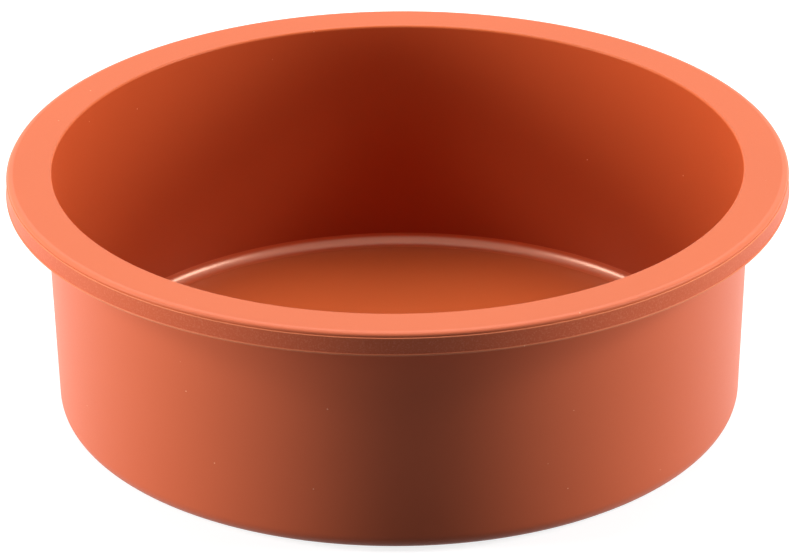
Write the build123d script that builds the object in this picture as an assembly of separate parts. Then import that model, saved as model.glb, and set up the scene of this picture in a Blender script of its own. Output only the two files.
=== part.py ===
from build123d import *
import math
import os

# Round cake mould in soft terracotta silicone, moulded in one piece round a stiff ring.
# Units are millimetres. +Z is up, and the origin is the centre of the flat base,
# where the mould stands. Everything is turned about the Z axis, so the section of each
# piece is drawn in the XZ plane, with the distance from the axis along X.

# The cavity that shapes the cake
mouth_diameter = 180.0
cavity_depth = 65.0
wall_draft_degrees = 2.0
floor_corner_radius = 3.0

# The skin of the cup
wall_thickness = 2.0
base_thickness = 2.0
heel_radius = 4.4

# The rim, a thick flat collar that stands out from the mouth
rim_overhang = 12.0
rim_thickness = 6.0
lip_radius = 0.9
rim_edge_radius = 0.9
rim_lower_edge_radius = 0.3
rim_root_radius = 0.8

# The two lines round the rim's edge where the parts of the tool met: a small step out,
# just under the rounded top edge, and a low bead with a sloping top along the foot
parting_land = 0.2
parting_step = 0.3
step_edge_radius = 0.2
bead_reach = 0.2
bead_side_height = 0.15
bead_slope_height = 0.15

# The stiff ring inside the rim, and the silicone that covers it
ring_side_cover = 2.0
ring_flat_cover = 1.25
ring_corner_radius = 0.5

# Heights and radii that follow from the sizes above
wall_draft = math.radians(wall_draft_degrees)
mouth_radius = mouth_diameter / 2
rim_radius = mouth_radius + rim_overhang
rim_top_height = base_thickness + cavity_depth
rim_under_height = rim_top_height - rim_thickness
parting_height = rim_top_height - rim_edge_radius - parting_land
bead_top_height = rim_under_height + rim_lower_edge_radius + bead_side_height


def wall_inner_radius(height):
    """The cavity's radius at a height. The wall leans in by the draft from the mouth down to the floor."""
    return mouth_radius - (rim_top_height - height) * math.tan(wall_draft)


def wall_outer_radius(height):
    """The cup's outer radius at a height, one wall thickness from the cavity, square to the wall."""
    return wall_inner_radius(height) + wall_thickness / math.cos(wall_draft)


def turned(outline, corner_radii):
    """The solid that the outline sweeps about Z, with the corners at some of its points rounded first."""
    section = make_face(Polyline(*outline, close=True))
    for index, radius in corner_radii.items():
        corner = section.vertices().sort_by_distance(outline[index])[0]
        section = fillet(corner, radius)
    return revolve(Plane.XZ * section, Axis.Z)


def stiffening_ring():
    """The flat hoop that keeps the soft rim round and level, with eased corners."""
    inner_radius = mouth_radius + ring_side_cover
    outer_radius = rim_radius - ring_side_cover
    lower_height = rim_under_height + ring_flat_cover
    upper_height = rim_top_height - ring_flat_cover
    outline = [
        (inner_radius, lower_height),
        (outer_radius, lower_height),
        (outer_radius, upper_height),
        (inner_radius, upper_height),
    ]
    return turned(outline, {index: ring_corner_radius for index in range(len(outline))})


def mould_body(ring):
    """The silicone cup and its rim, moulded about the ring, which fills a closed channel in the rim."""
    band_radius = rim_radius - bead_reach
    step_radius = band_radius - parting_step
    outline = [
        (0, 0),
        (wall_outer_radius(0), 0),
        (wall_outer_radius(rim_under_height), rim_under_height),
        (rim_radius, rim_under_height),
        (rim_radius, bead_top_height),
        (band_radius, bead_top_height + bead_slope_height),
        (band_radius, parting_height),
        (step_radius, parting_height),
        (step_radius, rim_top_height),
        (mouth_radius, rim_top_height),
        (wall_inner_radius(base_thickness), base_thickness),
        (0, base_thickness),
    ]
    heel, root, lower_edge, step_edge, upper_edge, lip, floor_corner = 1, 2, 3, 6, 8, 9, 10
    corner_radii = {
        heel: heel_radius,
        root: rim_root_radius,
        lower_edge: rim_lower_edge_radius,
        step_edge: step_edge_radius,
        upper_edge: rim_edge_radius,
        lip: lip_radius,
        floor_corner: floor_corner_radius,
    }
    return turned(outline, corner_radii) - ring


os.makedirs("parts", exist_ok=True)
ring = stiffening_ring()
export_step(mould_body(ring), "parts/mould_body.step")
export_step(ring, "parts/rim_stiffening_ring.step")
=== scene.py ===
import math

import bpy
import numpy as np
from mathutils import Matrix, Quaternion, Vector


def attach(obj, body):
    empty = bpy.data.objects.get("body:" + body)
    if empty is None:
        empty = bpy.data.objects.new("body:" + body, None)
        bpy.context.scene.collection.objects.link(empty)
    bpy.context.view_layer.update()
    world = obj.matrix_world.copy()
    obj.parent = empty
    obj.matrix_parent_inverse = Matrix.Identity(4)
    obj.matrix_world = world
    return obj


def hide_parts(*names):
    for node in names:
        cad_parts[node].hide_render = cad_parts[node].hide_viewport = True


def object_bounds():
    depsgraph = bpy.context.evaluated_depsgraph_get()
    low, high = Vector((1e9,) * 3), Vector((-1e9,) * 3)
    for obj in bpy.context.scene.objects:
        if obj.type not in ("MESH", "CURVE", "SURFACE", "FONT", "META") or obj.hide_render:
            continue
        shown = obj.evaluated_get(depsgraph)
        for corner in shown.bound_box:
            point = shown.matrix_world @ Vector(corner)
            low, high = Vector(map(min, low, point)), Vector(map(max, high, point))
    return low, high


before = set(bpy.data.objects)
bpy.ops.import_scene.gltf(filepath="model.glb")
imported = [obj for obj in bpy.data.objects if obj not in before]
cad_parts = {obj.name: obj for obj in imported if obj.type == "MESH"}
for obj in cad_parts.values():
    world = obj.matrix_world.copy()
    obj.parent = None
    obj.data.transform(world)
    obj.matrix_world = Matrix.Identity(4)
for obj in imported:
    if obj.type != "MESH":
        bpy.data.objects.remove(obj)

# A round cake mould of terracotta silicone, moulded in one piece round a stiff ring that is
# sealed inside its rim. Lengths are in metres, and the sizes below are written in millimetres.
MM = 0.001

cad_low, cad_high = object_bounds()

# The rim: a thick flat collar. Its radius and its height above the base come from the frame.
rim_radius = cad_high.x
rim_top_height = cad_high.z
rim_overhang = 12.0 * MM
rim_thickness = 6.0 * MM
rim_under_height = rim_top_height - rim_thickness
mouth_radius = rim_radius - rim_overhang

# The skin of the cup, which leans in by the draft from the mouth down to the floor
wall_draft = math.radians(2.0)
wall_thickness = 2.0 * MM
base_thickness = 2.0 * MM

# The two lines that the tool leaves round the rim's edge: a narrow ledge under the eased top edge and a
# bead at the foot. The band between them is set back a little.
parting_drop = 1.1 * MM
parting_ledge = 0.3 * MM
bead_reach = 0.2 * MM
bead_height = 0.15 * MM
bead_slope = 0.15 * MM

# How far each rounded corner reaches back along its two sides. The rim's top edge is wider than it is deep.
heel_setback = 4.4 * MM
root_setback = 0.8 * MM
lower_edge_setback = 0.3 * MM
bead_edge_setback = 0.06 * MM
ledge_edge_setback = 0.2 * MM
ledge_root_setback = 0.03 * MM
top_edge_setbacks = (0.85 * MM, 1.5 * MM)
lip_setback = 0.6 * MM
floor_corner_setback = 3.0 * MM

# Steps round the mould
steps_round = 384

# The finishes that the tool leaves on the silicone, some of them with painted highlights, glow or shade in
# their colour, numbered as the mould's material slots
outside, band, inside, line, corner, edge, wall = range(7)

# Patterns, in millimetres: the spacing of the drift in the silicone's colour, the spacing in space of the
# specks of dust on it and a speck's radius, and the spacing and relief of the fibres in the ring's nylon
drift_spacing = 45.0
dust_spacing = 9.0
dust_radius = 0.2
fibre_spacing = 0.6
fibre_relief = 0.02

# Where the picture was taken from: the camera's height above the level, its distance from the
# centre of the base, the point that it aims at beside the mould's axis, and its lean to one side
camera_elevation = math.radians(26.93)
camera_distance = 1.413
aim_side = 0.42 * MM
aim_height = 32.6 * MM
camera_roll = math.radians(-0.46)
camera_lens = 239.07
sensor_width = 36.0

# The studio, in metres: how far the paper reaches from the mould, how far away the lamps stand, and the
# lamps' widths and heights
paper_reach = 4.0
near_lamp_distance = 1.2
far_lamp_distance = 1.4
low_lamp_size = (0.5, 0.4)
high_lamp_size = (0.35, 0.3)
overhead_lamp_size = (1.2, 0.9)
behind_lamp_size = (1.4, 0.4)


def colour(code):
    """Linear RGBA from an sRGB hex code such as #CF5A36."""
    channels = np.array([int(code[i:i + 2], 16) for i in (1, 3, 5)]) / 255
    linear = np.where(channels <= 0.04045, channels / 12.92, ((channels + 0.055) / 1.055) ** 2.4)
    return (*linear.tolist(), 1.0)


def add(owner, kind, inputs=(), **settings):
    """Adds one node with its settings to a material or the world. An input gets a value or a socket."""
    tree = owner.node_tree
    node = tree.nodes.new(kind)
    for name, value in settings.items():
        setattr(node, name, value)
    for name, value in dict(inputs).items():
        if isinstance(value, bpy.types.NodeSocket):
            tree.links.new(value, node.inputs[name])
        else:
            node.inputs[name].default_value = value
    return node


def new_material(name):
    """An empty node material."""
    material = bpy.data.materials.new(name)
    material.use_nodes = True
    material.node_tree.nodes.clear()
    return material


def per_mm(spacing):
    """The scale that gives a pattern that spacing, in millimetres, on coordinates in metres."""
    return 1 / (spacing * MM)


def silicone(name, roughness, grain_spacing, grain_depth, shades=("#B3522A", "#B9562C"), shine="#FFE3D5",
             speckle=0.0, index=1.41, gloss=0.5):
    """Pigmented silicone rubber. The compound is the same everywhere, and the finish follows the tool's
    surface: its roughness, a grain with its spacing and depth in millimetres, the two shades that the colour
    drifts between, the colour of its shine, how strongly the grain's high spots are rubbed pale, its index of
    refraction and how strongly it shines."""
    material = new_material(name)
    place = add(material, "ShaderNodeTexCoord").outputs["Object"]
    # The compound is mixed in a mill, so its colour drifts very slightly over some centimetres
    cloud = add(material, "ShaderNodeTexNoise", {
        "Vector": place, "Scale": per_mm(drift_spacing), "Detail": 2.0,
    })
    # On some finishes the two shades also hold painted light: a painted highlight, glow or shade
    shade = add(material, "ShaderNodeMix", {
        "Factor": cloud.outputs["Fac"], "A": colour(shades[0]), "B": colour(shades[1]),
    }, data_type="RGBA")
    grain = add(material, "ShaderNodeTexNoise", {
        "Vector": place, "Scale": per_mm(grain_spacing), "Detail": 3.0, "Roughness": 0.6,
    })
    if speckle:
        rubbed = add(material, "ShaderNodeMapRange", {
            "Value": grain.outputs["Fac"], "From Min": 0.5, "From Max": 0.75, "To Max": speckle,
        })
        shade = add(material, "ShaderNodeMix", {
            "Factor": rubbed.outputs["Result"], "A": shade.outputs["Result"], "B": colour("#DC9576"),
        }, data_type="RGBA")
    # Dust clings to silicone: a few small pale specks, some centimetres apart
    dust = add(material, "ShaderNodeTexVoronoi", {"Vector": place, "Scale": per_mm(dust_spacing)})
    speck = add(material, "ShaderNodeMath", {
        0: dust.outputs["Distance"], 1: dust_radius / dust_spacing,
    }, operation="LESS_THAN")
    shade = add(material, "ShaderNodeMix", {
        "Factor": speck.outputs["Value"], "A": shade.outputs["Result"], "B": colour("#D69A7C"),
    }, data_type="RGBA")
    dullness = add(material, "ShaderNodeMapRange", {
        "Value": grain.outputs["Fac"], "To Min": roughness - 0.04, "To Max": roughness + 0.04,
    })
    bump = add(material, "ShaderNodeBump", {
        "Height": grain.outputs["Fac"], "Distance": grain_depth * MM,
    })
    # The surface's own shine is warm, because a little of it comes from just under the skin
    shader = add(material, "ShaderNodeBsdfPrincipled", {
        "Base Color": shade.outputs["Result"], "Roughness": dullness.outputs["Result"],
        "IOR": index, "Specular IOR Level": gloss, "Specular Tint": colour(shine),
        "Normal": bump.outputs["Normal"],
    })
    add(material, "ShaderNodeOutputMaterial", {"Surface": shader.outputs["BSDF"]})
    return material


def glass_filled_nylon():
    """Glass-filled nylon, injection moulded: dull off-white with pale short fibres in its skin."""
    material = new_material("glass_filled_nylon")
    place = add(material, "ShaderNodeTexCoord").outputs["Object"]
    fibres = add(material, "ShaderNodeTexNoise", {
        "Vector": place, "Scale": per_mm(fibre_spacing), "Detail": 4.0,
    })
    shade = add(material, "ShaderNodeMix", {
        "Factor": fibres.outputs["Fac"], "A": colour("#D9D2C2"), "B": colour("#E6E1D5"),
    }, data_type="RGBA")
    bump = add(material, "ShaderNodeBump", {"Height": fibres.outputs["Fac"], "Distance": fibre_relief * MM})
    shader = add(material, "ShaderNodeBsdfPrincipled", {
        "Base Color": shade.outputs["Result"], "Roughness": 0.55, "IOR": 1.53,
        "Normal": bump.outputs["Normal"],
    })
    add(material, "ShaderNodeOutputMaterial", {"Surface": shader.outputs["BSDF"]})
    return material


def wall_inner_radius(height):
    """The cavity's radius at a height: the mouth's radius, less the draft over the depth."""
    return mouth_radius - (rim_top_height - height) * math.tan(wall_draft)


def wall_outer_radius(height):
    """The cup's outer radius at a height, one wall thickness out, square to the wall."""
    return wall_inner_radius(height) + wall_thickness / math.cos(wall_draft)


def corner_arc(before, point, after, setbacks, steps):
    """A quarter ellipse in the corner at a point, tangent to both sides. From its start, a setback back
    along the first side, it follows point + a (1 - sin s) + b (1 - cos s), where a and b reach from the
    point to the arc's two ends and s goes from 0 to a quarter turn."""
    sides = zip((before, after), np.broadcast_to(setbacks, 2))
    first, second = [(end - point) / np.linalg.norm(end - point) * setback for end, setback in sides]
    s = np.linspace(0, math.pi / 2, steps + 1)[:, None]
    return point + first * (1 - np.sin(s)) + second * (1 - np.cos(s))


def straight_run(start, end, steps):
    """Points between two ends, without them, closest together at the ends: start + (end - start)
    (1 - cos t) / 2 for t from 0 to half a turn. The narrow end steps keep a flat face's shading flat beside
    a rounded corner."""
    share = (1 - np.cos(np.linspace(0, math.pi, steps + 1)[1:-1, None])) / 2
    return start + (end - start) * share


def section(outline):
    """The section's points, with every corner rounded, and the finish of the stretch that leaves each
    point. An outline's row is a corner's radius and height, its setback or its two setbacks, its arc's steps
    and finish, and the steps and the finish of the straight run after it."""
    corners = np.array([row[:2] for row in outline])
    arcs = [corners[:1]]
    for index in range(1, len(outline) - 1):
        setbacks, steps = outline[index][2:4]
        arcs.append(corner_arc(*corners[index - 1:index + 2], setbacks, steps))
    arcs.append(corners[-1:])
    points, finishes = [], []
    for arc, following, row in zip(arcs, arcs[1:], outline):
        run = straight_run(arc[-1], following[0], row[5])
        points += [arc, run]
        finishes += [row[4]] * (len(arc) - 1) + [row[6]] * (len(run) + 1)
    points.append(arcs[-1])
    return np.concatenate(points), np.array(finishes)


def mould_section():
    """The mould's section, from the base's centre round the outside and the rim to the floor's centre."""
    parting_height = rim_top_height - parting_drop
    band_radius = rim_radius - bead_reach
    step_radius = band_radius - parting_ledge
    bead_top_height = rim_under_height + lower_edge_setback + bead_height
    return section([
        (0, 0, None, 0, outside, 18, outside),
        (wall_outer_radius(0), 0, heel_setback, 14, outside, 26, outside),
        (wall_outer_radius(rim_under_height), rim_under_height, root_setback, 6, outside, 10, outside),
        (rim_radius, rim_under_height, lower_edge_setback, 8, line, 2, line),
        (rim_radius, bead_top_height, bead_edge_setback, 4, line, 2, line),
        (band_radius, bead_top_height + bead_slope, bead_edge_setback, 4, band, 10, band),
        (band_radius, parting_height, ledge_edge_setback, 6, line, 2, line),
        (step_radius, parting_height, ledge_root_setback, 3, inside, 3, inside),
        (step_radius, rim_top_height, top_edge_setbacks, 10, edge, 14, inside),
        (mouth_radius, rim_top_height, lip_setback, 10, inside, 26, wall),
        (wall_inner_radius(base_thickness), base_thickness, floor_corner_setback, 14, corner, 18, inside),
        (0, base_thickness, None, 0, inside, 0, inside),
    ])


def turned_mesh(name, points, finishes):
    """A closed surface of revolution. The point at step i of the section and step j round the axis is
    (radius_i cos a_j, radius_i sin a_j, height_i), where a_j is the turn's share j / steps. The two ends of
    the section lie on the axis, so each is a single point that a fan of triangles closes."""
    turn = np.arange(steps_round) * (2 * math.pi / steps_round)
    radius, height = points[1:-1].T[:, :, None]
    rings = np.stack([
        radius * np.cos(turn), radius * np.sin(turn), height * np.ones(steps_round),
    ], axis=-1).reshape(-1, 3)
    poles = [[0, 0, points[0, 1]], [0, 0, points[-1, 1]]]
    vertices = np.concatenate([rings, poles])

    here = np.arange(steps_round)
    there = (here + 1) % steps_round
    lower = (np.arange(len(radius) - 1) * steps_round)[:, None]
    quads = np.stack([
        lower + here, lower + there, lower + steps_round + there, lower + steps_round + here,
    ], axis=-1).reshape(-1, 4)
    last_ring = (len(radius) - 1) * steps_round
    base_pole, floor_pole = len(rings), len(rings) + 1
    base_fan = np.stack([np.full(steps_round, base_pole), there, here], axis=-1)
    floor_fan = np.stack([np.full(steps_round, floor_pole), last_ring + here, last_ring + there], axis=-1)

    mesh = bpy.data.meshes.new(name)
    mesh.from_pydata(vertices.tolist(), [], quads.tolist() + base_fan.tolist() + floor_fan.tolist())
    face_finish = np.concatenate([
        np.repeat(finishes[1:-1], steps_round),
        np.full(steps_round, finishes[0]), np.full(steps_round, finishes[-1]),
    ])
    mesh.polygons.foreach_set("material_index", face_finish.astype(np.int32))
    mesh.polygons.foreach_set("use_smooth", np.ones(len(mesh.polygons), bool))
    mesh.update()
    return mesh


def placed(name, mesh, materials):
    """Links a finished mesh into the scene as an object at the origin."""
    for material in materials:
        mesh.materials.append(material)
    piece = bpy.data.objects.new(name, mesh)
    bpy.context.scene.collection.objects.link(piece)
    return piece


def silicone_mould():
    """The visible silicone: the whole cup and its rim, in the finishes that the tool leaves on it, with
    painted highlights on the rim's lines and top edge, painted light in the floor's corner and painted shade
    on the cavity's wall.
    """
    finishes = {
        # The outside is moulded against fine-blasted steel: satin, with broad soft highlights, and a little
        # pinker and less glossy than the cavity
        outside: silicone(
            "satin_moulded_silicone", 0.42, 0.5, 0.006, shades=("#B85738", "#BD5B3A"), gloss=0.36,
        ),
        # The rim's edge between its two lines is cut a little coarser: dull, with a fine pale speckle
        band: silicone(
            "matt_moulded_silicone", 0.48, 0.45, 0.02, shades=("#B55233", "#BA5635"), speckle=0.3,
        ),
        # The cavity's floor and the rim's top come off stoned steel: smoother, with a sharper highlight
        inside: silicone("smooth_moulded_silicone", 0.36, 0.6, 0.003),
        # The thin flash on the rim's two lines is painted pale, a painted highlight where light catches them,
        # so they show as fine light lines
        line: silicone("silicone_flash_painted_highlight", 0.5, 0.3, 0.01, shades=("#C26A46", "#CB7654")),
        # The corner round the cavity's floor comes off hand-polished steel, so it catches a bright line, and
        # its colour is a shade redder than the floor's, painted light for the glow in the corner
        corner: silicone(
            "polished_silicone", 0.34, 0.6, 0.002, shades=("#B85028", "#BC542A"), shine="#FFCEB4",
            index=1.85, gloss=1.0,
        ),
        # The rim's eased top edge is a little paler than the flat beside it, a painted highlight along the
        # edge
        edge: silicone("silicone_edge_painted_highlight", 0.42, 0.4, 0.004, shades=("#BC5D3E", "#C16241")),
        # The cavity's wall is smooth like the floor, and its colour is a shade deeper: painted shade,
        # darkening the cavity
        wall: silicone("cavity_wall_silicone_painted_shade", 0.36, 0.6, 0.003, shades=("#AA4825", "#AF4C27")),
    }
    materials = [finishes[slot] for slot in sorted(finishes)]
    mould = placed("silicone_mould", turned_mesh("silicone_mould", *mould_section()), materials)
    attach(mould, "root")
    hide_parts("mould_body")
    return mould


def finish_ring():
    """Gives the sealed ring its nylon."""
    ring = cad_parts["rim_stiffening_ring"]
    ring.data.materials.clear()
    ring.data.materials.append(glass_filled_nylon())


def seen_rays(owner):
    """1 for a ray from the camera, straight, off a shiny surface or through glass, and 0 for any other."""
    rays = add(owner, "ShaderNodeLightPath").outputs
    straight_or_shiny = add(owner, "ShaderNodeMath", {
        0: rays["Is Camera Ray"], 1: rays["Is Glossy Ray"],
    }, operation="MAXIMUM")
    seen = add(owner, "ShaderNodeMath", {
        0: straight_or_shiny.outputs["Value"], 1: rays["Is Transmission Ray"],
    }, operation="MAXIMUM")
    return seen.outputs["Value"]


def studio_paper():
    """White paper. It looks white, with the mould's soft shadow on it, to the camera and in reflections,
    and it throws back little light, so that the front of the mould stays in shade as in the picture."""
    material = new_material("white_studio_paper")
    # The glow is full white away from the mould, and less under and beside it, where its shadow has to show
    place = add(material, "ShaderNodeTexCoord").outputs["Object"]
    distance = add(material, "ShaderNodeVectorMath", {0: place}, operation="LENGTH")
    strength = add(material, "ShaderNodeMapRange", {
        "Value": distance.outputs["Value"], "From Min": rim_radius, "From Max": 5 * rim_radius,
        "To Min": 0.8, "To Max": 1.0,
    }, interpolation_type="SMOOTHSTEP")
    glow = add(material, "ShaderNodeEmission", {"Strength": strength.outputs["Result"]})
    paper = add(material, "ShaderNodeBsdfDiffuse", {"Color": (0.35, 0.35, 0.35, 1)})
    lit = add(material, "ShaderNodeAddShader", {0: glow.outputs["Emission"], 1: paper.outputs["BSDF"]})
    dim = add(material, "ShaderNodeBsdfDiffuse", {"Color": (0.12, 0.12, 0.12, 1)})
    choice = add(material, "ShaderNodeMixShader", {
        "Fac": seen_rays(material), 1: dim.outputs["BSDF"], 2: lit.outputs["Shader"],
    })
    add(material, "ShaderNodeOutputMaterial", {"Surface": choice.outputs["Shader"]})
    return material


def studio_floor():
    """A wide sheet of paper that the mould stands on."""
    sides = ((-1, -1), (1, -1), (1, 1), (-1, 1))
    mesh = bpy.data.meshes.new("floor")
    mesh.from_pydata([(x * paper_reach, y * paper_reach, 0) for x, y in sides], [], [(0, 1, 2, 3)])
    floor = placed("floor", mesh, [studio_paper()])


def studio_air():
    """The world: white behind the mould and in its reflections. It throws no other light."""
    world = bpy.data.worlds.new("studio")
    bpy.context.scene.world = world
    world.use_nodes = True
    world.node_tree.nodes.clear()
    background = add(world, "ShaderNodeBackground", {"Color": (1, 1, 1, 1), "Strength": seen_rays(world)})
    add(world, "ShaderNodeOutputWorld", {"Surface": background.outputs["Background"]})


def softbox(name, azimuth, elevation, distance, size, radiance, shines=True):
    """A rectangular lamp that faces the mould, and may light it without showing in its shine. Azimuth 0 is
    the camera's side and 90 is the right."""
    light = bpy.data.lights.new(name, "AREA")
    light.shape = "RECTANGLE"
    light.size, light.size_y = size
    light.energy = radiance * math.pi * light.size * light.size_y
    lamp = bpy.data.objects.new(name, light)
    bpy.context.scene.collection.objects.link(lamp)
    a, e = math.radians(azimuth), math.radians(elevation)
    away = Vector((math.sin(a) * math.cos(e), -math.cos(a) * math.cos(e), math.sin(e)))
    lamp.location = away * distance + Vector((0, 0, aim_height))
    lamp.rotation_euler = away.to_track_quat("Z", "Y").to_euler()
    lamp.visible_glossy = shines


def studio_lamps():
    """Strong softboxes near table level on the left and the right, a smaller one high above each, and two
    weaker ones overhead and behind the mould. The low ones would flare in the rim's flat top, seen from the
    far side, and the overhead one would draw a hard line in the floor's corner, so they don't shine."""
    softbox("softbox_low_left", 273, 9, near_lamp_distance, low_lamp_size, 31.0, shines=False)
    softbox("softbox_low_right", 93, 9, near_lamp_distance, low_lamp_size, 26.0, shines=False)
    softbox("softbox_high_left", 275, 33, near_lamp_distance, high_lamp_size, 17.8)
    softbox("softbox_high_right", 85, 33, near_lamp_distance, high_lamp_size, 18.3)
    softbox("softbox_overhead", 180, 73, far_lamp_distance, overhead_lamp_size, 7.0, shines=False)
    softbox("softbox_behind", 180, 48, far_lamp_distance, behind_lamp_size, 2.8)


def camera():
    """The camera, on the mould's centre plane, aimed at the axis and leaning slightly."""
    data = bpy.data.cameras.new("camera")
    data.lens = camera_lens
    data.sensor_width = sensor_width
    eye = bpy.data.objects.new("camera", data)
    bpy.context.scene.collection.objects.link(eye)
    eye.location = (
        0, -camera_distance * math.cos(camera_elevation), camera_distance * math.sin(camera_elevation),
    )
    aim = Vector((aim_side, 0, aim_height)) - eye.location
    turn = aim.to_track_quat("-Z", "Y") @ Quaternion((0, 0, 1), camera_roll)
    eye.rotation_euler = turn.to_euler()
    bpy.context.scene.camera = eye


silicone_mould()
finish_ring()
studio_floor()
studio_air()
studio_lamps()
camera()
bpy.context.scene.view_settings.view_transform = "Standard"
